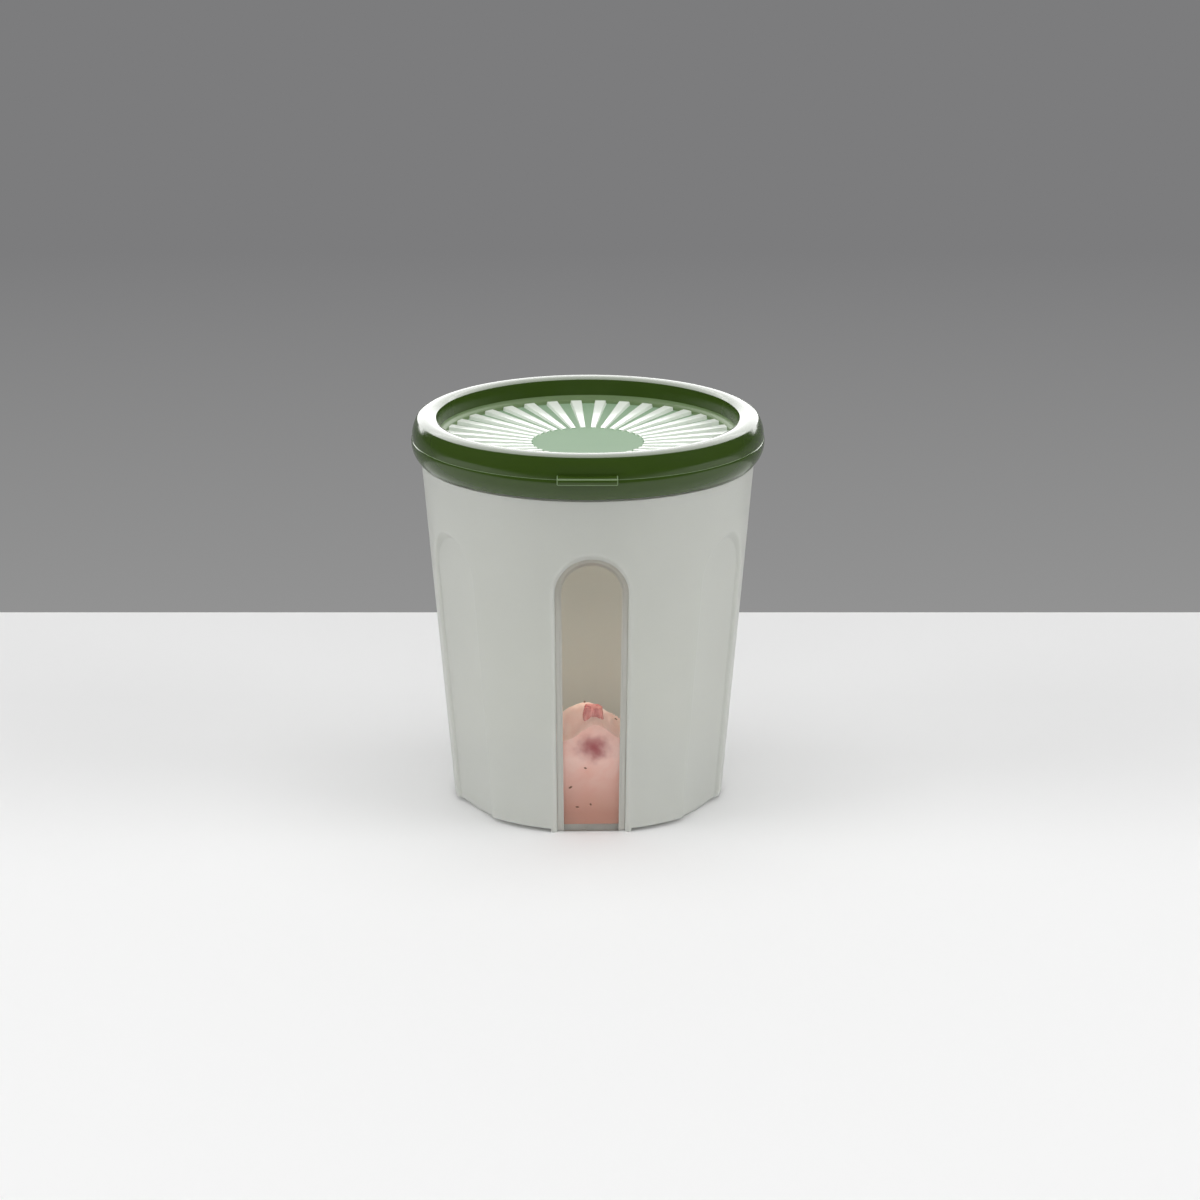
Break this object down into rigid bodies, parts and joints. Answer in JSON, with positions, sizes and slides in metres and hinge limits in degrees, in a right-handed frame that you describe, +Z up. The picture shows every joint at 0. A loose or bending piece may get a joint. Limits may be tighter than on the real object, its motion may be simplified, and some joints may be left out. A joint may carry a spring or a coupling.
{
  "type": "round storage container",
  "caption": "Tapered round snack cup with fluted walls, a clear front window, a press-on ribbed lid with a lift tab, and fruit yogurt inside.",
  "frame": {"origin": "on the cup's axis, on the surface it stands on", "axes": "+Z up along the cup's axis, -Y towards the window and the lid's tab"},
  "size_m": [0.092, 0.0936, 0.1036],
  "materials": {
    "cup_wall": "satin moulded polypropylene, pale grey-white",
    "clear_window": "clear moulded polypropylene, glossy",
    "lid_green": "glossy moulded polypropylene, leaf green",
    "yogurt": "stirred strawberry yogurt, moist",
    "strawberry": "cut strawberry flesh, wet"
  },
  "bodies": {
    "root": {"cup": "cup_wall", "window": "clear_window", "lid": "lid_green", "yogurt": "yogurt", "strawberry_top": "strawberry", "strawberry_front": "strawberry"}
  },
  "joints": []
}
